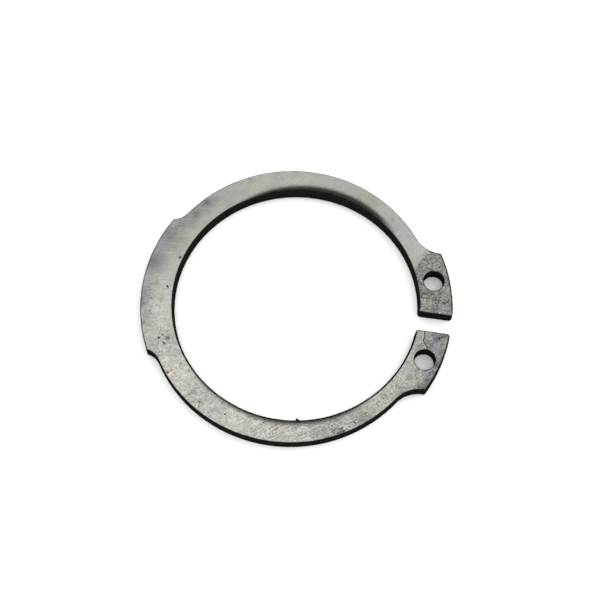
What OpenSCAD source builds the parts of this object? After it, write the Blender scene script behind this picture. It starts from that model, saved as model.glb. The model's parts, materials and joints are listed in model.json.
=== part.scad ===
// Circlip retaining ring for a shaft groove: one stamped piece of spring steel.
// Frame: origin at the centre of the bore on the lower face, +Z up through the
// thickness, +X out through the gap between the lugs. Millimetres.

/* [Ring] */
// Radius of the bore that seats in the shaft groove, ring at rest
bore_r = 14.8; // [12:0.1:18]
// Thickness of the strip
thick = 1.6; // [1:0.1:2.4]
// Width of the band at the sides, midway between the lugs and the back
band_w_side = 2.87; // [2.5:0.01:3.2]
// Width that the band narrows to if it ran on under the lugs as far as the gap
band_w_lug = 1.8; // [1.4:0.05:2.4]
// Width of the band at the back if it ran on under the pad
band_w_back = 2.92; // [2.6:0.02:3.4]

/* [Lugs] */
// Width of the lugs from the bore to their outer arc
lug_w = 4.1; // [3.8:0.05:5.4]
// Angle from the ring's axis to the outer corner of each lug
lug_corner_a = 28; // [25:0.5:34]
// Radius of the hollow between each lug and the band
flank_r = 3.8; // [2.5:0.1:5]
// Radius of the plier holes
hole_r = 1.25; // [0.8:0.05:1.4]
// Distance of the plier holes from the bore's centre, past the bore's radius
hole_in = 2.16; // [1.9:0.02:2.4]
// Angle from the ring's axis to each plier hole
hole_a = 17.5; // [15:0.5:20]

/* [Gap] */
// Clear width between the two end faces
gap_w = 2.32; // [1.5:0.02:3.5]
// How far the gap lies to the -Y side of the ring's axis
gap_shift = 0.3; // [0:0.05:0.6]
// Radius of the upright corners of the end faces
end_corner_r = 0.35; // [0.2:0.05:0.5]

/* [Back pad] */
// Width of the raised pad at the back, from the bore
pad_w = 3.97; // [3.9:0.02:5]
// Angle from the ring's axis at the back to each corner of the pad
pad_corner_a = 27.7; // [20:0.5:36]
// Radius of the hollow between the pad and the band
step_r = 2.4; // [1.5:0.1:4]

/* [Edges] */
// Size of the break on the edges of the bore
bore_rim = 0.14; // [0.05:0.01:0.16]
// Size of the break on the edges of the plier holes
hole_rim = 0.05; // [0.03:0.01:0.12]
// Radius of the rounded section of the rolled edge at the bore
roll_r = 1.6; // [1.6:0.1:2.5]
// Width of the rolled edge at its widest, on the +Y side
roll_far_w = 0.88; // [0.4:0.02:1]
// Depth of the rolled edge there
roll_far_h = 0.34; // [0.32:0.02:0.5]
// Angle of that widest place from +X
roll_far_a = 84; // [68:1:110]
// How far the rolled edge's circle sits off the bore's centre there
roll_far_off = 1.6; // [1.3:0.1:2.4]
// Width of the rolled edge at its widest, on the -Y side
roll_near_w = 0.42; // [0.25:0.01:0.6]
// Depth of the rolled edge there
roll_near_h = 0.2; // [0.15:0.01:0.3]
// Angle of that widest place from +X
roll_near_a = 281; // [250:1:290]
// How far the rolled edge's circle sits off the bore's centre there
roll_near_off = 1; // [0.7:0.1:1.6]

/* [Hidden] */
// How far cutters run past the faces they cut
over = 1;
// How far each blend arc crosses its neighbour, so that the two meet cleanly
bite = 0.02;
// The corner arcs are short, and cross by less
corner_bite = 0.004;
lug_outer_r = bore_r + lug_w;
pad_outer_r = bore_r + pad_w;
// Each half of the band's outer edge is a circle, off the bore's centre towards the
// back and its own side. This is the centre for the +Y half
band_mean_w = (band_w_lug + band_w_back) / 2;
band_outer_r = bore_r + band_mean_w;
band_centre = [-(band_w_back - band_w_lug) / 2, band_w_side - band_mean_w];
hole_dist = bore_r + hole_in;
lug_corner = polar(lug_outer_r, lug_corner_a);
pad_corner = polar(pad_outer_r, 180 - pad_corner_a);
steel = [0.46, 0.45, 0.43];
$fn = 180;

// Point at a distance and an angle from the bore's centre
function polar(r, a) = [r * cos(a), r * sin(a)];

// Where a circle about p crosses a circle about q, on the left going from p to q
function crossing(p, rp, q, rq) =
    let (gap = q - p, d = norm(gap))
    let (along = (rp * rp - rq * rq + d * d) / (2 * d))
    let (across = sqrt(rp * rp - along * along))
    p + (along * gap + across * [-gap[1], gap[0]]) / d;

// Centres of the hollows on the +Y side: each crosses the band's outer edge by the
// bite and runs out to the corner of the lug or the pad
flank = crossing(band_centre, band_outer_r + flank_r - bite, lug_corner, flank_r);
step = crossing(pad_corner, step_r, band_centre, band_outer_r + step_r - bite);

// The part of a round blank between two angles; its edges are left as sheared
module blank_sector(r, from_a, to_a) {
    rotate([0, 0, from_a]) rotate_extrude(angle = to_a - from_a) square([r, thick]);
}

// Cutter for a plain hollow, with square edges
module hollow_cutter(r) {
    translate([0, 0, -over]) cylinder(h = thick + 2 * over, r = r);
}

// Cutter for a round hole that breaks the edges it makes on both faces
module hole_cutter(r, rim) {
    mouth = r + rim + over;
    rotate_extrude()
        polygon([[0, -over], [mouth, -over], [r, rim], [r, thick - rim], [mouth, thick + over],
            [0, thick + over]]);
}

// Cutter for the gap
module gap_cutter() {
    translate([0, -gap_w / 2 - gap_shift, -over]) cube([lug_outer_r + over, gap_w, thick + 2 * over]);
}

// Cutter for one upright corner: out is the way from the corner's centre across
// the arc, side the way across the end face
module corner_cutter(centre, out, side) {
    reach = 2 * end_corner_r;
    translate([centre[0], centre[1], -over]) linear_extrude(thick + 2 * over) difference() {
        polygon([[0, 0], reach * out, reach * (out + side), reach * side]);
        circle(end_corner_r + corner_bite);
    }
}

// Both upright corners of the end face at height y, which looks along side
module end_corners(y, side) {
    inset_y = y - side * end_corner_r;
    outer_x = sqrt(pow(lug_outer_r - end_corner_r, 2) - inset_y * inset_y);
    inner_x = sqrt(pow(bore_r + end_corner_r, 2) - inset_y * inset_y);
    outer = [outer_x, inset_y];
    inner = [inner_x, inset_y];
    corner_cutter(outer, outer / norm(outer), [0, side]);
    corner_cutter(inner, -inner / norm(inner), [0, side]);
}

// Cutter for the rolled edge at the bore: w wide and h deep at angle a, and
// narrower away from it, because its circle sits off the bore's centre
module roll_cutter(w, h, a, off) {
    face_r = bore_r + w - off;
    arc_centre = crossing([face_r, thick], roll_r, [face_r - w, thick - h], roll_r);
    rotate([0, 0, a]) translate([off, 0, 0]) rotate_extrude() difference() {
        translate([0, thick - 2 * h]) square([face_r, 2 * h + over]);
        translate(arc_centre) circle(roll_r);
    }
}

// The band, as a disc: its outer edge is the outline of two crossing circles
module band() {
    linear_extrude(thick)
        for (side = [-1, 1])
            translate([band_centre[0], side * band_centre[1]]) circle(band_outer_r);
}

// The raised pad at the back, out to the middle of the hollow on each side
module pad() {
    end_a = atan2(step[1], step[0]);
    blank_sector(pad_outer_r, end_a, 360 - end_a);
}

// Both lugs, before the gap is cut, out to the middle of each hollow
module lugs() {
    end_a = atan2(flank[1], flank[0]);
    blank_sector(lug_outer_r, -end_a, end_a);
}

module ring() {
    color(steel) difference() {
        union() {
            band();
            pad();
            lugs();
        }
        hole_cutter(bore_r, bore_rim);
        gap_cutter();
        end_corners(gap_w / 2 - gap_shift, -1);
        end_corners(-gap_w / 2 - gap_shift, 1);
        roll_cutter(roll_far_w, roll_far_h, roll_far_a, roll_far_off);
        roll_cutter(roll_near_w, roll_near_h, roll_near_a, roll_near_off);
        for (side = [-1, 1]) {
            translate([flank[0], side * flank[1], 0]) hollow_cutter(flank_r);
            translate([step[0], side * step[1], 0]) hollow_cutter(step_r);
            rotate([0, 0, side * hole_a]) translate([hole_dist, 0, 0]) hole_cutter(hole_r, hole_rim);
        }
    }
}

ring();
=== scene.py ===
import json
import math

import bmesh
import bpy
import numpy as np
from bpy.props import FloatProperty, FloatVectorProperty, IntProperty, PointerProperty
from bpy.types import Operator, Panel, PropertyGroup
from mathutils import Euler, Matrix, Vector, kdtree, noise
from mathutils.geometry import delaunay_2d_cdt


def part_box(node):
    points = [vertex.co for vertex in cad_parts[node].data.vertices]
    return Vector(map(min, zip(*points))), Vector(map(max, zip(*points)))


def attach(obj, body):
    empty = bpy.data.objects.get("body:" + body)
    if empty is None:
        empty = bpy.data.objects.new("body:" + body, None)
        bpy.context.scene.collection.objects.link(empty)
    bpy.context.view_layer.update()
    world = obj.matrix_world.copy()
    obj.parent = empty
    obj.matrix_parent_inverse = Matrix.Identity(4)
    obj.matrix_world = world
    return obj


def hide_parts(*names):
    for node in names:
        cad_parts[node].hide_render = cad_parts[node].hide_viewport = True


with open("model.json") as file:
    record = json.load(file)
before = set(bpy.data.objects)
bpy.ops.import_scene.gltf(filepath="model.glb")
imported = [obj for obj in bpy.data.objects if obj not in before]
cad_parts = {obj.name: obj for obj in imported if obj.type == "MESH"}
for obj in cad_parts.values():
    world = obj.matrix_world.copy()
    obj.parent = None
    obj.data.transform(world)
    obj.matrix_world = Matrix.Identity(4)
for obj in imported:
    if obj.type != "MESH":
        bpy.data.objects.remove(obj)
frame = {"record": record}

bl_info = {
    "name": "Retaining Ring",
    "version": (1, 0, 0),
    "blender": (4, 5, 0),
    "location": "3D View > Sidebar > Ring",
    "description": "A ground and hardened retaining ring on a plain studio floor",
    "category": "Mesh",
}

# Lengths are worked out in millimetres and turned to metres as each mesh is made
MM = 0.001
MOUNTS = {mount["name"]: mount for mount in frame["record"]["mounts"]}
SEAT = MOUNTS["groove_seat"]
HOLES = [MOUNTS["plier_hole_left"], MOUNTS["plier_hole_right"]]
LOW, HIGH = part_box("ring")
STEEL = "ground_steel"
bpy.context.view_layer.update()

# Pits in the upper face: x, y, half length, half width and depth in mm, and the way that they lie
# in degrees
PITS = (
    (-15.7, -0.3, 0.28, 0.13, 0.08, -50),
    (-15.5, -7.0, 0.22, 0.12, 0.04, 40),
    (-15.15, -6.55, 0.18, 0.09, 0.02, -40),
    (-14.75, -7.55, 0.17, 0.12, 0.03, -50),
    (-14.45, -6.9, 0.30, 0.22, 0.01, 0),
    (-13.6, -11.1, 0.19, 0.12, 0.06, -30),
    (-17.3, -2.1, 0.20, 0.10, 0.02, -40),
    (7.8, -15.16, 0.20, 0.10, 0.04, 20),
    (7.2, -15.5, 0.18, 0.09, 0.03, 10),
    (6.65, -15.6, 0.16, 0.09, 0.02, -10),
    (8.9, -13.9, 0.18, 0.08, 0.03, 20),
    (7.0, -14.5, 0.10, 0.07, 0.02, 0),
    (5.0, -15.6, 0.10, 0.07, 0.02, 50),
    (15.3, -7.1, 0.15, 0.08, 0.02, 70),
    (15.5, -7.6, 0.15, 0.08, 0.02, 60),
    (17.9, -2.0, 0.16, 0.12, 0.05, 20),
    (-14.9, 3.7, 0.20, 0.14, 0.03, 80),
    (3.2, -15.2, 0.10, 0.08, 0.03, 0),
    (-6.1, -15.2, 0.15, 0.12, 0.07, 10),
    (-2.6, -15.2, 0.12, 0.10, 0.06, 60),
    (-1.5, -15.5, 0.12, 0.08, 0.05, 90),
    (0.0, -15.6, 0.14, 0.06, 0.04, 70),
    (-9.3, -14.1, 0.16, 0.07, 0.05, -30),
    (-10.6, -13.4, 0.15, 0.08, 0.05, 70),
    (-11.2, -10.5, 0.12, 0.08, 0.04, 80),
    (6.2, -14.2, 0.12, 0.09, 0.05, 20),
    (9.0, -14.0, 0.13, 0.08, 0.05, 0),
    (12.1, -10.1, 0.12, 0.07, 0.04, 40),
    (-3.15, -17.42, 0.34, 0.15, 0.12, 10),
    (-17.2, -3.7, 0.20, 0.09, 0.04, 80),
    (17.6, -2.2, 0.18, 0.12, 0.04, 70),
    (16.7, -1.9, 0.16, 0.12, 0.02, 0),
    (16.9, 1.9, 0.14, 0.10, 0.02, 20),
)
# The fine crack that runs in from the end face of the lower lug to its hole
CRACK = (
    (15.73, -1.5), (15.85, -2.23), (15.71, -2.72), (16.06, -3.21), (16.34, -3.51), (16.16, -3.9)
)
CRACK_HALF_WIDTH = 0.08
CRACK_DEPTH = 0.08
# A pit this deep in mm, or deeper, is black inside
BLACK_PIT = 0.04
# The burr on the edge of the bore: points along its middle, and its radius at each, in mm
BURR = (
    ((2.60, -14.98, 1.36), 0.17),
    ((2.52, -14.76, 1.45), 0.17),
    ((2.42, -14.62, 1.48), 0.15),
    ((2.28, -14.54, 1.50), 0.12),
    ((2.12, -14.50, 1.52), 0.07),
)
# Lighter and darker places of the ground face, partly the steel's own tone and partly painted
#  reflection: x, y and radius in mm, and the shade added there
REFLECTION_AND_TONE_SPOTS = (
    (-12.9, 11.6, 0.8, -0.34),
    (-12.2, 12.2, 0.6, -0.28),
    (-13.9, 9.6, 0.9, -0.24),
    (-13.4, 11.0, 2.4, -0.30),
    (-15.0, 9.4, 2.6, -0.30),
    (-17.4, 6.4, 3.4, -0.38),
    (-18.6, 2.4, 3.0, -0.48),
    (-18.8, -1.4, 2.6, -0.42),
    (-18.4, -3.0, 1.3, -0.30),
    (-18.0, -5.2, 2.2, -0.18),
    (-17.2, 2.9, 2.2, -0.14),
    (-15.4, 5.6, 2.6, -0.08),
    (7.2, -15.2, 2.2, -0.42),
    (8.4, -16.0, 1.6, -0.30),
    (4.8, -15.6, 1.8, -0.26),
    (9.8, -13.4, 2.2, -0.38),
    (14.2, -9.6, 1.8, -0.22),
    (7.0, 14.6, 2.4, -0.16),
    (16.2, -8.8, 1.5, -0.28),
    (18.0, -5.0, 1.6, -0.20),
    (17.9, -2.0, 1.6, -0.10),
    (16.4, -3.4, 0.9, -0.12),
    (15.8, -2.0, 1.2, 0.14),
    (15.0, -5.4, 1.6, 0.12),
    (-12.4, -11.8, 5.0, 0.16),
    (-4.8, -16.0, 4.6, 0.14),
    (-15.4, -3.2, 3.4, 0.14),
    (-1.6, 16.0, 3.8, 0.06),
)
# Brown smudges: x, y and radius in mm, and how much of the stain they take
SMUDGES = (
    (-15.45, -6.95, 0.34, 0.60),
    (-15.1, -6.55, 0.28, 0.55),
    (-14.75, -7.55, 0.28, 0.55),
    (-14.45, -6.9, 0.55, 0.62),
    (-14.9, 3.7, 0.35, 0.50),
    (-13.7, -11.0, 0.25, 0.40),
    (7.5, -15.2, 0.60, 0.28),
    (-10.2, -13.0, 0.60, 0.35),
    (12.0, -10.4, 0.70, 0.35),
    (14.6, -7.6, 0.80, 0.35),
    (17.4, -2.3, 0.60, 0.45),
    (16.6, 2.6, 0.80, 0.35),
)
# Black smears: x, y and radius in mm, and their strength
SMEARS = (
    (17.8, -1.9, 1.0, 0.75),
    (17.2, -2.2, 0.7, 0.50),
    (18.2, -3.8, 1.1, 0.60),
    (17.6, -5.5, 0.8, 0.70),
    (17.3, -6.6, 0.7, 0.65),
    (16.8, -7.7, 0.8, 0.75),
    (16.2, -8.5, 1.1, 0.90),
    (16.5, -3.3, 0.6, 0.50),
    (15.4, -7.3, 0.6, 0.25),
    (17.8, 2.7, 0.7, 0.45),
    (18.0, 5.6, 0.6, 0.45),
    (7.6, -15.8, 0.9, 0.55),
    (5.6, -15.4, 0.5, 0.35),
    (-9.3, -14.1, 0.6, 0.40),
    (-10.6, -13.4, 0.7, 0.35),
    (-17.4, -4.2, 0.8, 0.30),
    (-13.7, -11.0, 0.4, 0.55),
    (-11.2, -10.4, 0.5, 0.30),
)
# Places of the ground face that the hardening turned bluish: x, y and radius in mm, and how much
BLUES = (
    (-13.2, 12.0, 2.6, 0.6),
    (-16.4, 8.4, 3.4, 0.7),
    (-18.2, 3.2, 3.6, 1.0),
    (-18.8, -2.0, 2.4, 0.7),
    (17.2, -7.0, 1.6, 0.8),
    (16.9, -2.6, 2.0, 0.5),
)
# Painted shade beside the rolled edge, where the face curves down and its reflection fades to
# black,
#  inside a circle: the angle in degrees that the circle sits off the bore's centre and how far in
#      mm,
#  the shade's width there, half of its soft border and the x where it ends in mm, and its strength
ROLL_EDGE_SHADES = (
    (80, 2.2, 0.98, 0.32, 10.0, 0.93),
    (281, 1.0, 0.62, 0.40, 9.5, 0.90),
)
# Rows of points that follow the edges, at these distances from them, and the spread of the points
# beyond the rows, beside the bore and elsewhere, all in mm
UPPER_ROWS, UPPER_SPREADS = (0.03, 0.07, 0.13, 0.21), (0.1, 0.19)
LOWER_ROWS, LOWER_SPREADS = (0.04, 0.11), (0.4, 0.45)
# Rows of faces up the walls
WALL_ROWS = 12
# Points of a face, of its details, and of a face and its details, stay this far apart, in mm
FACE_APART, DETAIL_APART, BOTH_APART = 0.035, 0.03, 0.05
# The finer spread goes on this far past the rolled edge, in mm
FINE_PAST = 0.25
# Distance between the points along the crack, in mm
CRACK_STEP = 0.07
# A point of the slanting border where the dark part of the upper lug begins, in mm
LUG_BORDER = (14.2, 7.65)
# The softbox's place and its two sides, in metres
SOFTBOX_PLACE, SOFTBOX_SIDES = (0.30, 0.16, 0.36), (0.35, 0.25)
# The camera's place, lens and sensor in mm, and its turn in degrees
CAMERA_PLACE, CAMERA_LENS, CAMERA_SENSOR = (8.37, -53.2, 135.9), 72, 36
CAMERA_TURN = (21.92, 0, 8.42)


# ---------------------------------------------------------------- plan of the ring


def polar(radius, angle):
    return np.array([radius * math.cos(angle), radius * math.sin(angle)])


def heading(vector):
    return math.atan2(vector[1], vector[0])


def crossing(p, p_radius, q, q_radius):
    """Where a circle about p crosses one about q, on the left going from p to q."""
    gap = q - p
    span = math.hypot(*gap)
    along = (p_radius**2 - q_radius**2 + span**2) / (2 * span)
    across = math.sqrt(p_radius**2 - along**2)
    return p + (along * gap + across * np.array([-gap[1], gap[0]])) / span


class Outline:
    """A closed line round the metal: its points, the way out of the metal and the edge's break."""

    def __init__(self, step):
        self.step = step
        self.points, self.out, self.breaks = [], [], []

    def arc(self, centre, radius, start, end, edge, hollow=False):
        """Adds an arc without its last point. The metal is outside the circle of a hollow."""
        count = max(3, math.ceil(abs(end - start) * radius / self.step))
        for i in range(count):
            spoke = polar(1, start + (end - start) * i / count)
            self.points.append(centre + radius * spoke)
            self.out.append(-spoke if hollow else spoke)
            self.breaks.append(edge)

    def line(self, start, end, out, edge):
        """Adds a straight line without its last point."""
        count = max(2, math.ceil(math.hypot(*(end - start)) / self.step))
        for i in range(count):
            self.points.append(start + (end - start) * i / count)
            self.out.append(np.array(out, float))
            self.breaks.append(edge)

    def arrays(self):
        """The points, ways out and breaks. At a sharp corner the way out halves its angle."""
        out = np.array(self.out)
        before = np.roll(out, 1, 0)
        mean = out + before
        mean /= np.linalg.norm(mean, axis=1)[:, None]
        sharp = (out * before).sum(1) < 0.9
        out[sharp] = mean[sharp]
        return np.array(self.points), out, np.array(self.breaks)


def sizes_mm(sizes):
    """The lengths of the size settings in millimetres, and their angles in radians."""
    found = {}
    for name in sizes.__annotations__:
        value = getattr(sizes, name)
        found[name] = value if name.endswith("_angle") else value / MM
    return found


def hole_centre(mount):
    """The middle of a plier hole on the plan, in mm."""
    return np.array(mount["pos_m"][:2]) / MM


def ring_outline(s):
    """The ring's whole outline, anticlockwise round the outside and back round the bore."""
    ring = Outline(s["mesh_step"])
    middle = np.zeros(2)
    bore = s["bore_radius"]
    lug = bore + s["lug_width"]
    pad = bore + s["pad_width"]
    turn = s["end_corner"]
    lug_side, back_side = s["band_width_lug"], s["band_width_back"]
    mean_width = (lug_side + back_side) / 2
    band = bore + mean_width
    band_centre = np.array([(lug_side - back_side) / 2, s["band_width_side"] - mean_width])
    lug_corner = polar(lug, s["lug_angle"])
    pad_corner = polar(pad, math.pi - s["pad_angle"])
    flank_radius, shoulder_radius = s["flank_radius"], s["shoulder_radius"]
    flank = crossing(band_centre, band + flank_radius, lug_corner, flank_radius)
    shoulder = crossing(pad_corner, shoulder_radius, band_centre, band + shoulder_radius)
    flip = np.array([1, -1])
    end_up = s["gap_width"] / 2 - s["gap_shift"]
    end_down = -s["gap_width"] / 2 - s["gap_shift"]

    def corner_centre(y, side, radius):
        """The centre of the upright corner of the end face at height y, which looks along side."""
        inset = y - side * turn
        return np.array([math.sqrt(radius**2 - inset**2), inset])

    def hollow(centre, radius, first, last, edge):
        """The arc of a hollow that runs from one point to another with the metal outside it."""
        start, end = heading(first - centre), heading(last - centre)
        ring.arc(centre, radius, start, end - math.tau if end > start else end, edge, hollow=True)

    outer_up = corner_centre(end_up, -1, lug - turn)
    inner_up = corner_centre(end_up, -1, bore + turn)
    outer_down = corner_centre(end_down, 1, lug - turn)
    inner_down = corner_centre(end_down, 1, bore + turn)
    quarter = math.pi / 2
    band_start = heading(flank - band_centre)
    band_end = heading(shoulder - band_centre)
    edge, worn_edge = s["edge_break"], s["worn_break"]
    lug_edge, end_edge = s["lug_break"], s["end_break"]
    ring.arc(outer_up, turn, -quarter, heading(outer_up), end_edge)
    ring.arc(middle, lug, heading(outer_up), s["lug_angle"], lug_edge)
    hollow(flank, flank_radius, lug_corner, band_centre, edge)
    ring.arc(band_centre, band, band_start, band_end, edge)
    hollow(shoulder, shoulder_radius, band_centre, pad_corner, edge)
    ring.arc(middle, pad, math.pi - s["pad_angle"], math.pi + s["pad_angle"], s["pad_break"])
    hollow(shoulder * flip, shoulder_radius, pad_corner * flip, band_centre * flip, worn_edge)
    ring.arc(band_centre * flip, band, -band_end, -band_start, worn_edge)
    hollow(flank * flip, flank_radius, band_centre * flip, lug_corner * flip, worn_edge)
    ring.arc(middle, lug, -s["lug_angle"], heading(outer_down), lug_edge)
    ring.arc(outer_down, turn, heading(outer_down), quarter, end_edge)
    ring.line(outer_down + [0, turn], inner_down + [0, turn], (0, 1), end_edge)
    ring.arc(inner_down, turn, quarter, math.pi + heading(inner_down), end_edge)
    bore_end = heading(inner_up) - math.tau
    ring.arc(middle, bore, heading(inner_down), bore_end, s["bore_break"], hollow=True)
    ring.arc(inner_up, turn, heading(inner_up) - math.pi, -quarter, end_edge)
    ring.line(inner_up - [0, turn], outer_up - [0, turn], (0, -1), end_edge)
    return ring.arrays()


def hole_outline(s, mount):
    """The outline of one plier hole."""
    hole = Outline(s["mesh_step"])
    centre = hole_centre(mount)
    hole.arc(centre, s["hole_radius"], 0, -math.tau, s["hole_break"], hollow=True)
    return hole.arrays()


# ---------------------------------------------------------------- heights of the faces


def rolled_drop(s, side, xy, wander):
    """How far the rolled edge at the bore lies below the ground face on one side of the ring."""
    width, depth = s[f"roll_{side}_width"], s[f"roll_{side}_depth"]
    angle, offset = s[f"roll_{side}_angle"], s[f"roll_{side}_offset"]
    radius = s["roll_radius"]
    face = s["bore_radius"] + width - offset
    middle = crossing(np.array([face, 0]), radius, np.array([face - width, -depth]), radius)
    reach = np.linalg.norm(xy - polar(offset, angle), axis=1) + wander
    fall = -middle[1] - np.sqrt(np.maximum(radius**2 - (reach - middle[0]) ** 2, 0))
    return np.where(reach < face, np.maximum(fall, 0), 0)


def flare(s, t):
    """How far a wall stands out from its upper edge, at a share t of the way down."""
    return s["wall_flare"] * t * t * (3 - 2 * t)


def edge_drop(distance, size):
    """A rounded break of the given size along an edge."""
    left = np.clip(size - distance, 0, size)
    return size - np.sqrt(np.maximum(size**2 - left**2, 0))


def crack_distance(xy):
    """Distance to the crack's line."""
    best = np.full(len(xy), np.inf)
    for a, b in zip(CRACK, CRACK[1:]):
        a, b = np.array(a), np.array(b)
        t = np.clip(((xy - a) @ (b - a)) / ((b - a) @ (b - a)), 0, 1)
        best = np.minimum(best, np.linalg.norm(xy - a - t[:, None] * (b - a), axis=1))
    return best


def rough(xy, scale, shift=0.0):
    """Smooth noise from -1 to 1 over the plan, with features about scale mm across."""
    return np.array([noise.noise(Vector((x / scale, y / scale, shift))) for x, y in xy])


def scars(xy):
    """Depth of the pits and the crack in mm, and how black they are inside, from 0 to 1."""
    drop, black = np.zeros(len(xy)), np.zeros(len(xy))
    for x, y, half_length, half_width, depth, way in PITS:
        c, n = polar(1, math.radians(way))
        u = (xy[:, 0] - x) * c + (xy[:, 1] - y) * n
        v = (xy[:, 1] - y) * c - (xy[:, 0] - x) * n
        near = np.clip(1 - (u / half_length) ** 2 - (v / half_width) ** 2, 0, 1)
        drop += depth * near**0.7
        black = np.maximum(black, near**0.3 * min(1, depth / BLACK_PIT))
    crack = np.clip(1 - crack_distance(xy) / CRACK_HALF_WIDTH, 0, 1)
    return drop + CRACK_DEPTH * crack, np.maximum(black, crack)


def upper_drop(s, xy, distance, size):
    """Depth of the upper surface below the ground plane, in mm, at a distance from the edge."""
    wander = 0.035 * rough(xy, 0.9) + 0.02 * rough(xy, 0.35, 4.0)
    drop = edge_drop(distance, size * (1 + 0.5 * rough(xy, 0.6, 8.0)))
    for side in ("far", "near"):
        drop = np.maximum(drop, rolled_drop(s, side, xy, wander))
    return drop + scars(xy)[0] + 0.0012 * (1 + rough(xy, 2.5, 2.0))


# ---------------------------------------------------------------- mesh


def fine_points(xy_list, keep_apart):
    """The points that stand at least keep_apart from those before them."""
    kept = []
    cells = {}
    for x, y in xy_list:
        cell = (int(x // keep_apart), int(y // keep_apart))
        close = any(
            (px - x) ** 2 + (py - y) ** 2 < keep_apart**2
            for i in (-1, 0, 1)
            for j in (-1, 0, 1)
            for px, py in cells.get((cell[0] + i, cell[1] + j), ())
        )
        if not close:
            cells.setdefault(cell, []).append((x, y))
            kept.append((x, y))
    return np.array(kept).reshape(-1, 2)


def honeycomb(reach, spacing):
    """Points spread evenly in staggered rows over a square."""
    rows = np.arange(-reach, reach, spacing * math.sqrt(3) / 2)
    columns = np.arange(-reach, reach, spacing)
    grid = [(x + (spacing / 2 if k % 2 else 0), y) for k, y in enumerate(rows) for x in columns]
    return np.array(grid)


class Nearest:
    """Distance into the metal from the nearest point of the outlines, and its edge's break."""

    def __init__(self, points, out, breaks):
        self.points, self.out, self.breaks = points, out, breaks
        self.tree = kdtree.KDTree(len(points))
        for i, (x, y) in enumerate(points):
            self.tree.insert((x, y, 0), i)
        self.tree.balance()

    def __call__(self, xy):
        index = np.array([self.tree.find((x, y, 0))[1] for x, y in xy])
        inward = -((xy - self.points[index]) * self.out[index]).sum(1)
        return inward, self.breaks[index]


def face_points(s, near, rows, spreads):
    """Points inside the metal: rows that follow the edges, then a spread, finer beside the bore."""
    groups = []
    for distance in rows:
        row = near.points - near.out * distance
        inward, _ = near(row)
        groups.append(row[inward > 0.85 * distance])
    bore = s["bore_radius"]
    reach = bore + max(s["lug_width"], s["pad_width"])
    for spacing, fine_zone in zip(spreads, (True, False)):
        grid = honeycomb(reach, spacing)
        span = np.linalg.norm(grid, axis=1)
        beside = span < bore + s["roll_far_width"] + FINE_PAST
        grid = grid[(span > bore) & (beside == fine_zone)]
        inward, _ = near(grid)
        groups.append(grid[inward > rows[-1] + spacing * 0.6])
    return fine_points(np.vstack(groups), FACE_APART)


def with_details(near, points):
    """The points of a face with more of them where the pits and the crack are."""
    spots = []
    for x, y, half_length, half_width, _, way in PITS:
        spots.append((x, y))
        c, n = polar(1, math.radians(way))
        for part, count in ((0.5, 6), (1.0, 10)):
            for i in range(count):
                u, v = polar(part, math.tau * i / count) * (half_length, half_width)
                spots.append((x + u * c - v * n, y + u * n + v * c))
    for a, b in zip(CRACK, CRACK[1:]):
        a, b = np.array(a), np.array(b)
        span = np.linalg.norm(b - a)
        way = (b - a) / span
        side = np.array([-way[1], way[0]])
        for t in np.arange(0, span, CRACK_STEP):
            for across in (-CRACK_HALF_WIDTH, 0, CRACK_HALF_WIDTH):
                spots.append(tuple(a + way * t + side * across))
    spots = fine_points(spots, DETAIL_APART)
    inward, _ = near(spots)
    spots = spots[inward > BOTH_APART]
    apart = np.linalg.norm(points[:, None, :] - spots[None, :, :], axis=2).min(1)
    clear = apart > BOTH_APART
    return np.vstack([points[clear], spots])


def triangulate(boundary, loops, inside, s):
    """Triangles over the metal, as numbers of the points of boundary and then of inside."""
    points = [Vector(p) for p in np.vstack([boundary, inside])]
    edges = [(i, j) for loop in loops for i, j in zip(loop, loop[1:] + loop[:1])]
    out_points, _, faces, *_ = delaunay_2d_cdt(points, edges, [loops[0]], 1, 1e-6)
    if len(out_points) != len(points):
        raise RuntimeError("points of the face run into each other")
    xy = np.array([tuple(p) for p in out_points])
    faces = np.array([tuple(f) for f in faces])
    middle = xy[faces].mean(1)
    keep = np.ones(len(faces), bool)
    for mount in HOLES:
        keep &= np.linalg.norm(middle - hole_centre(mount), axis=1) > s["hole_radius"] * 0.999
    faces = faces[keep]
    start = xy[faces[:, 0]]
    one, two = xy[faces[:, 1]] - start, xy[faces[:, 2]] - start
    turned = one[:, 0] * two[:, 1] - one[:, 1] * two[:, 0] < 0
    faces[turned] = faces[turned][:, ::-1]
    return faces


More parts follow.
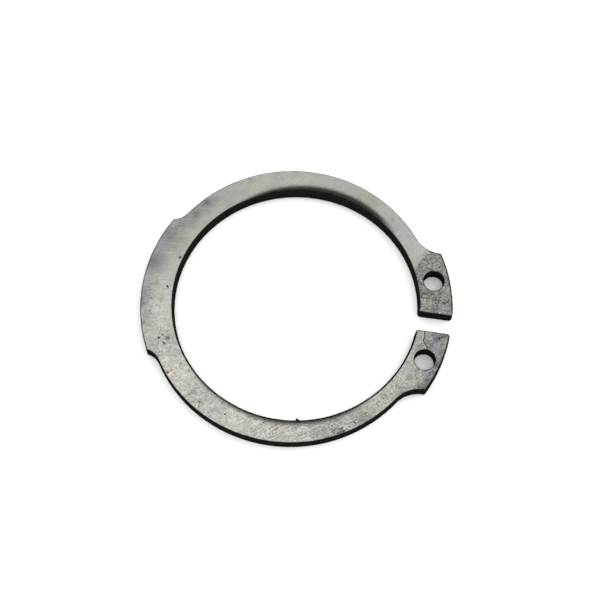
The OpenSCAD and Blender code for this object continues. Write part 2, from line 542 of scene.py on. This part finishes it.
def ring_mesh(sizes):
    """The whole ring as one closed mesh. Its points store what its wear and finish need."""
    s = sizes_mm(sizes)
    thick = s["thickness"]
    parts = [ring_outline(s)] + [hole_outline(s, mount) for mount in HOLES]
    boundary = np.vstack([p[0] for p in parts])
    out = np.vstack([p[1] for p in parts])
    breaks = np.concatenate([p[2] for p in parts])
    loops, along, first = [], [], 0
    for points, _, _ in parts:
        loops.append(list(range(first, first + len(points))))
        hops = np.linalg.norm(np.roll(points, -1, 0) - points, axis=1)
        along.append(np.concatenate([[0], np.cumsum(hops)[:-1]]))
        first += len(points)
    along = np.concatenate(along)
    near = Nearest(boundary, out, breaks)
    edge = len(boundary)

    top_inside = with_details(near, face_points(s, near, UPPER_ROWS, UPPER_SPREADS))
    low_inside = face_points(s, near, LOWER_ROWS, LOWER_SPREADS)
    top_faces = triangulate(boundary, loops, top_inside, s)
    low_faces = triangulate(boundary, loops, low_inside, s)

    zero = np.zeros(edge)
    top_inset, size = near(top_inside)
    top_z = thick - upper_drop(s, top_inside, top_inset, size)
    top_edge_z = thick - upper_drop(s, boundary, zero, breaks)
    top_broken = top_inset / size
    low_inset, size = near(low_inside)
    low_z = edge_drop(low_inset, size)
    low_edge_z = edge_drop(zero, breaks)
    low_broken = low_inset / size

    points, faces = [], []
    stored = {name: [] for name in ("height", "along", "inset", "broken", "scarred", "outward")}

    def add(xy, z, **facts):
        """Adds points, with a fact for each or one for all, and returns the number of the first."""
        base = sum(len(p) for p in points)
        points.append(np.column_stack([xy, z]))
        for name, values in facts.items():
            width = 3 if name == "outward" else 1
            stored[name].append(np.broadcast_to(np.reshape(values, (-1, width)), (len(xy), width)))
        return base

    bases = []
    edge_facts = {"along": along, "inset": 0, "broken": 0, "scarred": 0}
    edge_facts["outward"] = np.column_stack([out, zero])
    for row in range(WALL_ROWS + 1):
        t = row / WALL_ROWS
        z = top_edge_z * (1 - t) + low_edge_z * t
        bases.append(add(boundary + out * flare(s, t), z, height=1 - t, **edge_facts))
    face_facts = {"height": -1, "along": 0, "outward": (0, 0, 0)}
    top_facts = {"inset": top_inset, "broken": top_broken, "scarred": scars(top_inside)[1]}
    low_facts = {"inset": low_inset, "broken": low_broken, "scarred": 0}
    top_base = add(top_inside, top_z, **top_facts, **face_facts)
    low_base = add(low_inside, low_z, **low_facts, **face_facts)
    faces.append(np.where(top_faces < edge, top_faces + bases[0], top_faces - edge + top_base))
    low = np.where(low_faces < edge, low_faces + bases[-1], low_faces - edge + low_base)
    faces.append(low[:, ::-1])
    for upper, lower in zip(bases, bases[1:]):
        for loop in loops:
            here = np.array(loop)
            there = np.roll(here, -1)
            faces.append(np.column_stack([upper + here, lower + here, lower + there]))
            faces.append(np.column_stack([upper + here, lower + there, upper + there]))
    points = np.vstack(points) * MM
    faces = np.vstack(faces)
    mesh = bpy.data.meshes.new("retaining_ring")
    mesh.from_pydata(points.tolist(), [], faces.tolist())
    for name, values in stored.items():
        kind, field = ("FLOAT_VECTOR", "vector") if name == "outward" else ("FLOAT", "value")
        flat_values = np.ascontiguousarray(np.vstack(values).ravel(), np.float32)
        mesh.attributes.new(name, kind, "POINT").data.foreach_set(field, flat_values)
    mesh.shade_smooth()
    return mesh


def burr_mesh():
    """The small curl of metal on the edge of the bore: a closed, tapered tube with eight sides."""
    sides = 8
    middles = [np.array(place) for place, _ in BURR]
    points, faces = [], []
    for i, (_, radius) in enumerate(BURR):
        way = middles[min(i + 1, len(BURR) - 1)] - middles[max(i - 1, 0)]
        way = way / np.linalg.norm(way)
        across = np.cross(way, (0, 0, 1))
        across = across / np.linalg.norm(across)
        up = np.cross(across, way)
        for k in range(sides):
            a, b = polar(radius, math.tau * k / sides)
            points.append(middles[i] + a * across + 0.7 * b * up)
    last = (len(BURR) - 1) * sides
    for i in range(0, last, sides):
        for k in range(sides):
            j = (k + 1) % sides
            faces.append((i + k, i + j, i + sides + j, i + sides + k))
    faces.append(tuple(range(sides))[::-1])
    faces.append(tuple(range(last, last + sides)))
    mesh = bpy.data.meshes.new("edge_burr")
    mesh.from_pydata([tuple(p * MM) for p in points], [], faces)
    work = bmesh.new()
    work.from_mesh(mesh)
    bmesh.ops.subdivide_edges(work, edges=work.edges, cuts=1, smooth=0.6, use_grid_fill=True)
    bmesh.ops.recalc_face_normals(work, faces=work.faces)
    work.to_mesh(mesh)
    work.free()
    mesh.shade_smooth()
    return mesh


# ---------------------------------------------------------------- node boards


class Wire:
    """A node's output, so that sums on it can be written as Python ones."""

    def __init__(self, board, socket):
        self.board, self.socket = board, socket

    def __add__(self, other):
        return self.board.math("ADD", self, other)

    def __sub__(self, other):
        return self.board.math("SUBTRACT", self, other)

    def __rsub__(self, other):
        return self.board.math("SUBTRACT", other, self)

    def __mul__(self, other):
        return self.board.math("MULTIPLY", self, other)

    def __truediv__(self, other):
        return self.board.math("DIVIDE", self, other)

    __radd__ = __add__
    __rmul__ = __mul__


class Board:
    """Builds the nodes of one tree."""

    def __init__(self, tree):
        self.tree = tree
        tree.nodes.clear()

    def node(self, kind, settings=None, sockets=None, output=0):
        """Adds a node, gives it its settings and then the values or links of its sockets.

        Returns the wire of the output asked for, or a list of wires for a tuple of outputs.
        """
        node = self.tree.nodes.new(kind)
        for name, value in (settings or {}).items():
            setattr(node, name, value)
        for name, value in (sockets or {}).items():
            if isinstance(value, Wire):
                self.tree.links.new(value.socket, node.inputs[name])
            else:
                node.inputs[name].default_value = value
        if isinstance(output, tuple):
            return [Wire(self, node.outputs[name]) for name in output]
        return Wire(self, node.outputs[output]) if len(node.outputs) else None

    def math(self, operation, first, second=0.0):
        return self.node("ShaderNodeMath", {"operation": operation}, {0: first, 1: second})

    def vector(self, operation, first, second=None):
        """A sum on vectors. SCALE takes a number, and DISTANCE, LENGTH and DOT_PRODUCT give one."""
        sockets = {0: first}
        if second is not None:
            sockets["Scale" if operation == "SCALE" else 1] = second
        output = "Value" if operation in ("DISTANCE", "LENGTH", "DOT_PRODUCT") else "Vector"
        return self.node("ShaderNodeVectorMath", {"operation": operation}, sockets, output)

    def noise(self, place, scale, detail=3.0, roughness=0.55, distortion=0.0):
        looks = {"Detail": detail, "Roughness": roughness, "Distortion": distortion}
        return self.node("ShaderNodeTexNoise", {}, {"Vector": place, "Scale": scale, **looks})

    def ease(self, value, low, high, to_low=0.0, to_high=1.0):
        """Goes smoothly from to_low to to_high as value goes from low to high."""
        sockets = {0: value, 1: low, 2: high, 3: to_low, 4: to_high}
        return self.node("ShaderNodeMapRange", {"interpolation_type": "SMOOTHSTEP"}, sockets)

    def more(self, first, second):
        """The larger of two numbers."""
        return self.math("MAXIMUM", first, second)

    def blend(self, amount, first, second):
        """Mixes two colours."""
        sockets = {0: amount, 6: first, 7: second}
        return self.node("ShaderNodeMix", {"data_type": "RGBA"}, sockets, 2)


# ---------------------------------------------------------------- steel


class SteelBoard(Board):
    """The nodes of the steel's finish. Its places are in mm from the middle of the bore."""

    def __init__(self, tree, sizes):
        super().__init__(tree)
        self.bore, self.thick = sizes.bore_radius / MM, sizes.thickness / MM
        coordinates = self.node("ShaderNodeTexCoord", output="Object")
        self.place = self.vector("SCALE", coordinates, 1 / MM)
        self.flat = self.vector("MULTIPLY", self.place, (1, 1, 0))
        axes = (0, 1, 2)
        self.x, self.y, self.z = self.node("ShaderNodeSeparateXYZ", {}, {0: self.place}, axes)

        # Unevenness, from the broadest to the finest, each about 0
        self.cloud = self.noise(self.flat, 0.16, 3.0) - 0.5
        self.mottle = self.noise(self.flat, 1.1, 5.0, 0.65) - 0.5
        self.speckle = self.noise(self.flat, 3.2, 4.0, 0.75) - 0.5
        self.grain = self.noise(self.flat, 7.5, 3.0, 0.7) - 0.5
        self.ragged = self.noise(self.place, 3.0, 4.0, 0.7) - 0.5

        # The lugs are dark and flecked, the upper one as far as a slanting border, and the steel
        #  is rougher there and towards the near side. The lugs' darkness is partly their own tone
        #  and partly painted shade
        wavy = self.mottle * 1.2
        border_x, border_y = LUG_BORDER
        slant = (self.x - border_x) * 0.92 - (self.y - border_y) * 0.4
        upper_lug = self.ease(slant + wavy, -0.2, 0.3) * self.ease(self.y, 0.0, 0.8)
        lower_lug = self.ease(self.x + self.y * 0.25 + wavy, 12.6, 15.6)
        lower_lug = lower_lug * self.ease(self.y, 0.0, -0.8)
        self.lugs = self.more(upper_lug, lower_lug * 0.75)
        self.rougher = self.more(self.ease(self.y, 3.0, -8.0), self.lugs)

    def stored(self, name):
        """A fact stored on the points of the mesh."""
        return self.node("ShaderNodeAttribute", {"attribute_name": name}, output="Fac")

    def spot(self, x, y, radius):
        """1 at a place on the plan, and 0 from the radius outwards."""
        away = self.vector("DISTANCE", self.flat, (x, y, 0))
        return self.ease(away, 0.0, radius, 1.0, 0.0)

    def lined(self, degrees, length, width):
        """Fine lines on the plan in one direction: noise of that length and width, about 0."""
        turn = {"Vector": self.flat, "Rotation": (0, 0, -math.radians(degrees))}
        turned = self.node("ShaderNodeMapping", {}, turn)
        pull = {"Vector": turned, "Scale": (1 / length, 1 / width, 1 / length)}
        return self.noise(self.node("ShaderNodeMapping", {}, pull), 1.0, 2.0, 0.5) - 0.5

    def ground_lines(self):
        """The lines of the grinding, each way of them on its own part of the ring."""
        lines = self.lined(2, 3.0, 0.13) * self.ease(self.x, -11.0, -14.5) * 0.6
        lines = lines + self.lined(52, 2.4, 0.16) * self.ease(self.y, 4.0, 11.0) * 0.4
        lines = lines + self.lined(36, 2.0, 0.12) * self.ease(self.y, -7.0, -13.0) * 1.5
        return lines + self.lined(64, 2.0, 0.16) * self.ease(self.x, 10.0, 15.0) * 0.6

    def scratches(self):
        """Later scratches: those that catch the light, whose glint is painted into the colour as
        lighter lines, and the dark cuts.
        """
        glinting, dark = 0.0, 0.0
        for degrees, length, width, least in (
            (-28, 1.4, 0.12, 0.09),
            (38, 1.2, 0.11, 0.08),
            (-62, 0.9, 0.11, 0.10),
            (78, 0.8, 0.10, 0.11),
            (8, 1.8, 0.10, 0.10),
        ):
            line = self.lined(degrees, length, width)
            # Painted glints: these scratches are made lighter in the colour
            glinting = self.more(glinting, self.ease(line, least, least + 0.10))
            dark = self.more(dark, self.ease(line, -least - 0.02, -least - 0.12))
        struck = self.ease(self.noise(self.flat, 0.7, 3.0), 0.40, 0.56) * (self.rougher * 0.9 + 0.1)
        return glinting * struck, dark * struck

    def shade(self, lines, glinting, dark):
        """How light the ground face is, about 1: the steel's own tone and marks, with painted
        reflection, glints and shade.
        """
        fine = (self.speckle * 0.9 + self.grain * 0.6) * (self.rougher * 1.7 + 0.5)
        shade = 1.0 + self.cloud * 0.3 + self.mottle * (0.45 + self.lugs * 0.5) + fine
        # Painted reflection: the face grows lighter towards the lower left (-X, -Y)
        shade = shade + self.ease(self.x * -0.6 - self.y * 0.8, -2.0, 12.0) * 0.15
        # Spots of the steel's own tone and of painted reflection
        for x, y, radius, amount in REFLECTION_AND_TONE_SPOTS:
            shade = shade + self.spot(x, y, radius) * amount
        flecks = self.ease(self.noise(self.flat, 1.9, 4.0, 0.75), 0.57, 0.66) * self.lugs
        # The lugs are darkened here, partly their own tone and partly painted shade
        shade = shade - self.lugs * 0.46 + lines + glinting * 0.75 - dark * 0.65 + flecks * 0.45
        return self.more(shade, 0.12)

    def ground(self, finish, shade):
        """The colour of the ground face, with its blued and stained places."""
        stain = self.ease(self.noise(self.flat, 0.55, 4.0, 0.6, 0.4), 0.56, 0.72) * 0.35
        for x, y, radius, amount in SMUDGES:
            smudge = self.ease(self.spot(x, y, radius) + self.speckle * 1.2, 0.2, 0.55)
            stain = self.more(stain, smudge * amount)
        blue = 0.0
        for x, y, radius, amount in BLUES:
            blue = self.more(blue, self.spot(x, y, radius) * amount)
        warm = self.ease(self.noise(self.flat, 0.22, 2.0), 0.4, 0.65)
        colour = self.blend(warm, (*finish.ground_cool, 1), (*finish.ground_warm, 1))
        colour = self.blend(blue, colour, (*finish.ground_blue, 1))
        colour = self.blend(stain, colour, (*finish.stain, 1))
        return self.vector("SCALE", colour, shade)

    def black(self):
        """1 where the black of the hardening covers the steel, wherever it isn't ground, and where
        shade is painted beside the rolled edge.
        """
        upper = self.ease(self.z, self.thick / 2, self.thick * 0.75)

        # Below either face, from a depth that a small wander makes ragged. On the rolled edge on
        # the
        #  -Y side the black comes in more slowly, as painted shade that grades from grey to black
        #  over its curve
        depth = self.math("MINIMUM", self.thick - self.z, self.z)
        steep = self.math("SQRT", self.more(depth, 0.0))
        radius = self.vector("LENGTH", self.flat)
        # worn marks where the painted grey gradient of the -Y rolled edge goes
        worn = self.ease(radius, self.bore + 0.8, self.bore + 0.5) * self.ease(self.y, -9.0, -11.5)
        black = self.ease((steep + self.ragged * 0.08 - 0.03) / (0.3 + worn * 0.4), 0.0, 1.0)

        # Painted shade beside the rolled edge, where the face curves down and its reflection fades
        for degrees, offset, width, soft, end, strength in ROLL_EDGE_SHADES:
            away = self.vector("DISTANCE", self.flat, (*polar(offset, math.radians(degrees)), 0))
            border = self.bore + width - offset
            roll_shade = self.ease(away + self.ragged * 0.25, border + soft, border - soft)
            roll_shade = roll_shade * self.ease(self.x, end + 1.8, end - 1.8)
            black = self.more(black, roll_shade * upper * strength)

        # In the broken edges, the pits and the crack, and in scuffs and patches on the lugs
        inset, broken = self.stored("inset"), self.stored("broken")
        black = self.more(black, self.ease(broken + self.ragged * 0.8, 2.0, 1.3))
        black = self.more(black, self.ease(self.stored("scarred"), 0.0, 0.7) * 0.95)
        scuffed = self.ease(inset + self.ragged * 1.2, 0.22, 0.0) * 0.4 * self.rougher
        patches = self.ease(self.noise(self.flat, 1.6, 5.0, 0.8), 0.56, 0.66) * 0.6 * self.lugs
        black = self.more(black, self.more(scuffed, patches))

        for x, y, radius, strength in SMEARS:
            smear = self.spot(x, y, radius) * self.ease(self.speckle, -0.06, 0.05) * strength
            black = self.more(black, smear * upper)
        return black

    def oxide_tone(self):
        """Goes from 0 in the deep black to 1 in the worn black, in small clouds."""
        clouds = self.noise(self.place, 2.2, 4.0, 0.6) * 0.6
        return self.ease(clouds + self.noise(self.place, 4.0, 2.0, 0.5) * 0.4, 0.3, 0.7)


def steel_material(finish, sizes):
    """Ground steel on the two flat faces, and the black of the hardened blank below them, with
    painted reflection, glints and shade in the colour.
    """
    material = bpy.data.materials.new(STEEL)
    material.use_nodes = True
    board = SteelBoard(material.node_tree, sizes)
    lines = board.ground_lines()
    glinting, dark = board.scratches()
    shade = board.shade(lines, glinting, dark)
    ground = board.ground(finish, shade)
    black = board.black()
    tone = board.oxide_tone()
    oxide = board.blend(tone, (*finish.black_deep, 1), (*finish.black_worn, 1))

    ground_roughness = 0.42 + board.mottle * 0.25 + (1 - shade) * 0.12 - glinting * 0.08
    black_roughness = 0.5 + (tone - 0.5) * 0.2
    both = {0: black, 2: ground_roughness, 3: black_roughness}
    roughness = board.node("ShaderNodeMix", {"data_type": "FLOAT"}, both)
    relief = lines * 0.6 - glinting * 0.35 - dark * 0.35
    relief = relief + board.grain * 0.3 + board.speckle * 0.3 + board.mottle * 0.4
    bumps = {"Strength": 0.35, "Distance": 0.02 * MM, "Height": relief}
    looks = {
        "Base Color": board.blend(black, ground, oxide),
        "Metallic": 1 - black,
        "Roughness": roughness,
        "Normal": board.node("ShaderNodeBump", {}, bumps),
        "Specular IOR Level": 0.0,
    }
    shader = board.node("ShaderNodeBsdfPrincipled", {}, looks)
    board.node("ShaderNodeOutputMaterial", {}, {"Surface": shader})
    return material


# ---------------------------------------------------------------- sheared edges


def edge_wear_tree():
    """Moves the points of the walls: shear marks all along them, and a few nicks on the edges."""
    tree = bpy.data.node_groups.new("sheared_edges", "GeometryNodeTree")
    tree.is_modifier = True
    kinds = {"Geometry": "Geometry", "Seed": "Int", "Finish": "Material"}
    shear = ("Shear depth", "Shear spacing")
    nicks = ("Nick share", "Nick reach", "Nick depth", "Middle height")
    names = ("Geometry", *shear, *nicks, "Seed", "Finish")
    for name in names:
        kind = "NodeSocket" + kinds.get(name, "Float")
        tree.interface.new_socket(name, in_out="INPUT", socket_type=kind)
    tree.interface.new_socket("Geometry", in_out="OUTPUT", socket_type="NodeSocketGeometry")
    board = Board(tree)
    given = dict(zip(names, board.node("NodeGroupInput", {}, {}, names)))

    def stored(name, kind="FLOAT"):
        return board.node("GeometryNodeInputNamedAttribute", {"data_type": kind}, {"Name": name})

    height = stored("height")
    along = stored("along")
    outward = stored("outward", "FLOAT_VECTOR")
    on_wall = board.ease(height, -0.5, 0.0)

    # Upright marks from the shearing, with rougher ones on the torn lower half
    across = along * MM / given["Shear spacing"]
    smooth = {0: across, 1: height * 0.7, 2: given["Seed"]}
    torn = {0: across * 1.4, 1: height * 9.0, 2: given["Seed"]}
    smooth_marks = board.noise(board.node("ShaderNodeCombineXYZ", {}, smooth), 1.0, 2.0, 0.5) - 0.5
    torn_marks = board.noise(board.node("ShaderNodeCombineXYZ", {}, torn), 1.0, 3.0, 0.6) - 0.5
    torn_marks = torn_marks * board.ease(height, 0.55, 0.3)
    push = (smooth_marks + torn_marks) * given["Shear depth"] * on_wall
    moving = {"Geometry": given["Geometry"], "Offset": board.vector("SCALE", outward, push)}
    moved = board.node("GeometryNodeSetPosition", {}, moving)

    # Nicks: a few points of the upper edges are picked, fewest round the bore, and everything
    # near them goes in and down
    position = board.node("GeometryNodeInputPosition")
    above_all = {"operation": "GREATER_THAN"}
    at_edge = board.node("FunctionNodeCompare", above_all, {0: height, 1: 0.99})
    facing = board.vector("DOT_PRODUCT", outward, position)
    share = given["Nick share"] * board.ease(facing, 0.0, 0.01, 0.2, 1.0)
    chance = {"Probability": share, "Seed": given["Seed"]}
    chosen = board.node("FunctionNodeRandomValue", {"data_type": "BOOLEAN"}, chance, 3)
    picked = board.node("FunctionNodeBooleanMath", {"operation": "AND"}, {0: at_edge, 1: chosen})
    spots = board.node("GeometryNodeMeshToPoints", {}, {"Mesh": moved, "Selection": picked})
    to_points = {"target_element": "POINTS"}
    wanted = ("Distance", "Position")
    distance, spot = board.node("GeometryNodeProximity", to_points, {0: spots}, wanted)
    own = board.node("ShaderNodeTexWhiteNoise", {"noise_dimensions": "3D"}, {"Vector": spot})
    reach = given["Nick reach"] * (0.35 + own * 0.9)
    into = board.ease(distance / reach, 0.0, 1.0, 1.0, 0.0)
    into = into * given["Nick depth"] * (0.4 + own * 0.8)
    way = board.vector("SUBTRACT", (0, 0, -0.7), outward)
    above = board.node("ShaderNodeSeparateXYZ", {}, {0: position}, 2)
    upper = board.node("FunctionNodeCompare", above_all, {0: above, 1: given["Middle height"]})
    denting = {"Geometry": moved, "Selection": upper, "Offset": board.vector("SCALE", way, into)}
    dented = board.node("GeometryNodeSetPosition", {}, denting)
    real = board.node("GeometryNodeRealizeInstances", {}, {"Geometry": dented})
    finishing = {"Geometry": real, "Material": given["Finish"]}
    board.node("NodeGroupOutput", {}, {0: board.node("GeometryNodeSetMaterial", {}, finishing)})
    return tree


def made_plain(piece):
    """Turns what a piece's modifiers make into its own mesh, and takes them off."""
    graph = bpy.context.evaluated_depsgraph_get()
    mesh = bpy.data.meshes.new_from_object(piece.evaluated_get(graph), depsgraph=graph)
    mesh.name = piece.name
    piece.modifiers.clear()
    piece.data = mesh
    return piece


def new_piece(name, mesh):
    piece = bpy.data.objects.new(name, mesh)
    bpy.context.scene.collection.objects.link(piece)
    return piece


# ---------------------------------------------------------------- settings


def number(text, default, about="", **limits):
    return FloatProperty(name=text, description=about or text, default=default, **limits)


def length(text, default, about=""):
    limits = {"min": 0.0, "unit": "LENGTH", "subtype": "DISTANCE", "precision": 5}
    return number(text, default, about, **limits)


def angle(text, degrees, about=""):
    return number(text, math.radians(degrees), about, unit="ROTATION", subtype="ANGLE")


def colour(text, default):
    return FloatVectorProperty(
        name=text, description=text, default=default, size=3, min=0.0, max=1.0, subtype="COLOR"
    )


class RING_PG_sizes(PropertyGroup):
    bore_radius: length("Bore radius", SEAT["dims"]["r_mm"] * MM, "Radius that seats in the groove")
    thickness: length("Thickness", HIGH.z - LOW.z, "Thickness of the ring")
    band_width_side: length("Band, sides", 2.87 * MM, "Width between the lugs and the back")
    band_width_lug: length("Band, gap", 1.8 * MM, "Width that it narrows to under the lugs")
    band_width_back: length("Band, back", 2.92 * MM, "Width at the back, without the pad")
    lug_width: length("Lug width", 4.1 * MM)
    lug_angle: angle("Lug corner", 28, "Angle from the ring's axis to a lug's outer corner")
    flank_radius: length("Hollow beside the lugs", 3.8 * MM)
    hole_radius: length("Plier hole radius", HOLES[0]["dims"]["r_mm"] * MM)
    gap_width: length("Gap", 2.32 * MM, "Clear width between the end faces")
    gap_shift: length("Gap shift", 0.3 * MM, "How far the gap lies to the -Y side")
    end_corner: length("End corners", 0.35 * MM, "Radius of the end faces' upright corners")
    pad_width: length("Pad width", 3.97 * MM)
    pad_angle: angle("Pad corner", 27.7, "Angle from the ring's axis to a corner of the pad")
    shoulder_radius: length("Hollow beside the pad", 2.4 * MM)
    bore_break: length("Bore edges", 0.14 * MM, "Break on the edges of the bore")
    hole_break: length("Hole edges", 0.05 * MM, "Break on the edges of the plier holes")
    lug_break: length("Lug edges", 0.1 * MM, "Wear on the outer edges of the lugs")
    pad_break: length("Pad edges", 0.07 * MM, "Wear on the outer edges of the pad")
    end_break: length("End edges", 0.06 * MM, "Wear on the edges of the end faces")
    edge_break: length("Sheared edges, +Y", 0.045 * MM, "Wear on the edges left as sheared")
    worn_break: length("Sheared edges, -Y", 0.08 * MM, "Wear on the edges of the more worn side")
    wall_flare: length("Wall flare", 0.05 * MM, "How far the walls stand out at their foot")
    roll_radius: length("Rolled edge radius", 1.6 * MM)
    roll_far_width: length("Rolled edge width, +Y", 0.88 * MM)
    roll_far_depth: length("Rolled edge depth, +Y", 0.34 * MM)
    roll_far_angle: angle("Rolled edge place, +Y", 84)
    roll_far_offset: length("Rolled edge offset, +Y", 1.6 * MM)
    roll_near_width: length("Rolled edge width, -Y", 0.42 * MM)
    roll_near_depth: length("Rolled edge depth, -Y", 0.2 * MM)
    roll_near_angle: angle("Rolled edge place, -Y", 281)
    roll_near_offset: length("Rolled edge offset, -Y", 1.0 * MM)
    mesh_step: length("Mesh step", 0.12 * MM, "Distance between the points along the edges")


class RING_PG_wear(PropertyGroup):
    shear_depth: length("Shear marks", 0.03 * MM, "Depth of the marks on the walls")
    shear_spacing: length("Shear spacing", 0.3 * MM)
    nick_reach: length("Nick size", 0.3 * MM)
    nick_depth: length("Nick depth", 0.08 * MM)
    nick_share: number(
        "Nicks", 0.025, "Share of the edge's points with a nick", min=0.0, max=1.0, subtype="FACTOR"
    )
    seed: IntProperty(name="Seed", description="Picks another pattern of nicks", default=3, min=0)


class RING_PG_finish(PropertyGroup):
    ground_cool: colour("Ground steel, cool", (0.272, 0.267, 0.254))
    ground_warm: colour("Ground steel, warm", (0.286, 0.278, 0.248))
    ground_blue: colour("Ground steel, blued", (0.262, 0.251, 0.262))
    stain: colour("Stain", (0.086, 0.074, 0.050))
    black_deep: colour("Black, deep", (0.004, 0.004, 0.004))
    black_worn: colour("Black, worn", (0.011, 0.0105, 0.0095))


class RING_PG_stage(PropertyGroup):
    floor_colour: colour("Floor", (0.9, 0.9, 0.9))
    sky: number("Room light", 1.5, "Brightness of the white room", min=0.0)
    softbox: number("Softbox", 0.6, "Power of the large light above", min=0.0, unit="POWER")
    floor_half: length("Floor", 1.5, "Half of the floor's width")
    floor_gap: length("Floor gap", 0.05 * MM, "How far the floor lies under the ring")


# ---------------------------------------------------------------- operators


class RING_OT_make_ring(Operator):
    """Make the ring with its ground faces, rolled edge, pits and sheared walls"""

    bl_idname = "ring.make_ring"
    bl_label = "Make the ring"

    def execute(self, context):
        scene = context.scene
        wear = scene.ring_wear
        piece = new_piece("retaining_ring", ring_mesh(scene.ring_sizes))
        tree = edge_wear_tree()
        modifier = piece.modifiers.new("Sheared edges", "NODES")
        modifier.node_group = tree
        values = {
            "Shear depth": wear.shear_depth,
            "Shear spacing": wear.shear_spacing,
            "Nick share": wear.nick_share,
            "Nick reach": wear.nick_reach,
            "Nick depth": wear.nick_depth,
            "Middle height": scene.ring_sizes.thickness / 2,
            "Seed": wear.seed,
            "Finish": steel_material(scene.ring_finish, scene.ring_sizes),
        }
        for item in tree.interface.items_tree:
            if item.in_out == "INPUT" and item.name in values:
                modifier[item.identifier] = values[item.name]
        made_plain(piece)
        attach(piece, "root")
        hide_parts("ring")
        return {"FINISHED"}


class RING_OT_make_burr(Operator):
    """Make the small burr on the edge of the bore, in the finish of the ring"""

    bl_idname = "ring.make_burr"
    bl_label = "Make the burr"

    def execute(self, context):
        steel = bpy.data.materials.get(STEEL)
        if steel is None:
            raise RuntimeError("make the ring before its burr")
        piece = new_piece("edge_burr", burr_mesh())
        piece.data.materials.append(steel)
        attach(piece, "root")
        return {"FINISHED"}


class RING_OT_make_stage(Operator):
    """Make the floor, the lights and the camera"""

    bl_idname = "ring.make_stage"
    bl_label = "Make the stage"

    def execute(self, context):
        scene = context.scene
        stage = scene.ring_stage
        mesh = bpy.data.meshes.new("floor")
        low = LOW.z - stage.floor_gap
        turns = ((-1, -1), (1, -1), (1, 1), (-1, 1))
        corners = [(x * stage.floor_half, y * stage.floor_half, low) for x, y in turns]
        mesh.from_pydata(corners, [], [(0, 1, 2, 3)])
        floor = new_piece("floor", mesh)
        paint = bpy.data.materials.new("floor_paint")
        paint.use_nodes = True
        board = Board(paint.node_tree)
        colour = (*stage.floor_colour, 1)
        looks = {"Base Color": colour, "Roughness": 0.9, "Specular IOR Level": 0.1}
        shader = board.node("ShaderNodeBsdfPrincipled", {}, looks)
        board.node("ShaderNodeOutputMaterial", {}, {"Surface": shader})
        mesh.materials.append(paint)

        world = bpy.data.worlds.new("white_room")
        world.use_nodes = True
        scene.world = world
        board = Board(world.node_tree)
        white = {"Color": (1, 1, 1, 1), "Strength": stage.sky}
        background = board.node("ShaderNodeBackground", {}, white)
        board.node("ShaderNodeOutputWorld", {}, {"Surface": background})

        lamp = bpy.data.lights.new("softbox", "AREA")
        lamp.shape = "RECTANGLE"
        lamp.size, lamp.size_y = SOFTBOX_SIDES
        lamp.energy = stage.softbox
        box = bpy.data.objects.new("softbox", lamp)
        box.location = SOFTBOX_PLACE
        box.rotation_euler = (-box.location).to_track_quat("-Z", "Y").to_euler()
        scene.collection.objects.link(box)

        view = bpy.data.cameras.new("camera")
        view.lens, view.sensor_width = CAMERA_LENS, CAMERA_SENSOR
        view.clip_start, view.clip_end = 0.005, 20
        camera = bpy.data.objects.new("camera", view)
        camera.location = [place * MM for place in CAMERA_PLACE]
        camera.rotation_euler = Euler([math.radians(turn) for turn in CAMERA_TURN], "XYZ")
        scene.collection.objects.link(camera)
        scene.camera = camera
        scene.view_settings.view_transform = "Standard"
        return {"FINISHED"}


class RING_PT_panel(Panel):
    """Lists the ring's pieces and their settings"""

    bl_idname = "RING_PT_panel"
    bl_label = "Retaining Ring"
    bl_space_type = "VIEW_3D"
    bl_region_type = "UI"
    bl_category = "Ring"

    def draw(self, context):
        scene = context.scene
        groups = (
            ("ring.make_ring", (scene.ring_sizes, scene.ring_wear, scene.ring_finish)),
            ("ring.make_burr", ()),
            ("ring.make_stage", (scene.ring_stage,)),
        )
        for operator, settings in groups:
            box = self.layout.box()
            box.operator(operator)
            for group in settings:
                for name in group.__annotations__:
                    box.prop(group, name)


GROUPS = {
    "ring_sizes": RING_PG_sizes,
    "ring_wear": RING_PG_wear,
    "ring_finish": RING_PG_finish,
    "ring_stage": RING_PG_stage,
}
OPERATORS = (RING_OT_make_ring, RING_OT_make_burr, RING_OT_make_stage)
CLASSES = (*GROUPS.values(), *OPERATORS, RING_PT_panel)


def register():
    for item in CLASSES:
        bpy.utils.register_class(item)
    for name, group in GROUPS.items():
        setattr(bpy.types.Scene, name, PointerProperty(type=group))


def unregister():
    for name in GROUPS:
        delattr(bpy.types.Scene, name)
    for item in reversed(CLASSES):
        bpy.utils.unregister_class(item)


def main():
    register()
    bpy.ops.ring.make_ring()
    bpy.ops.ring.make_burr()
    bpy.ops.ring.make_stage()


if __name__ == "__main__":
    main()
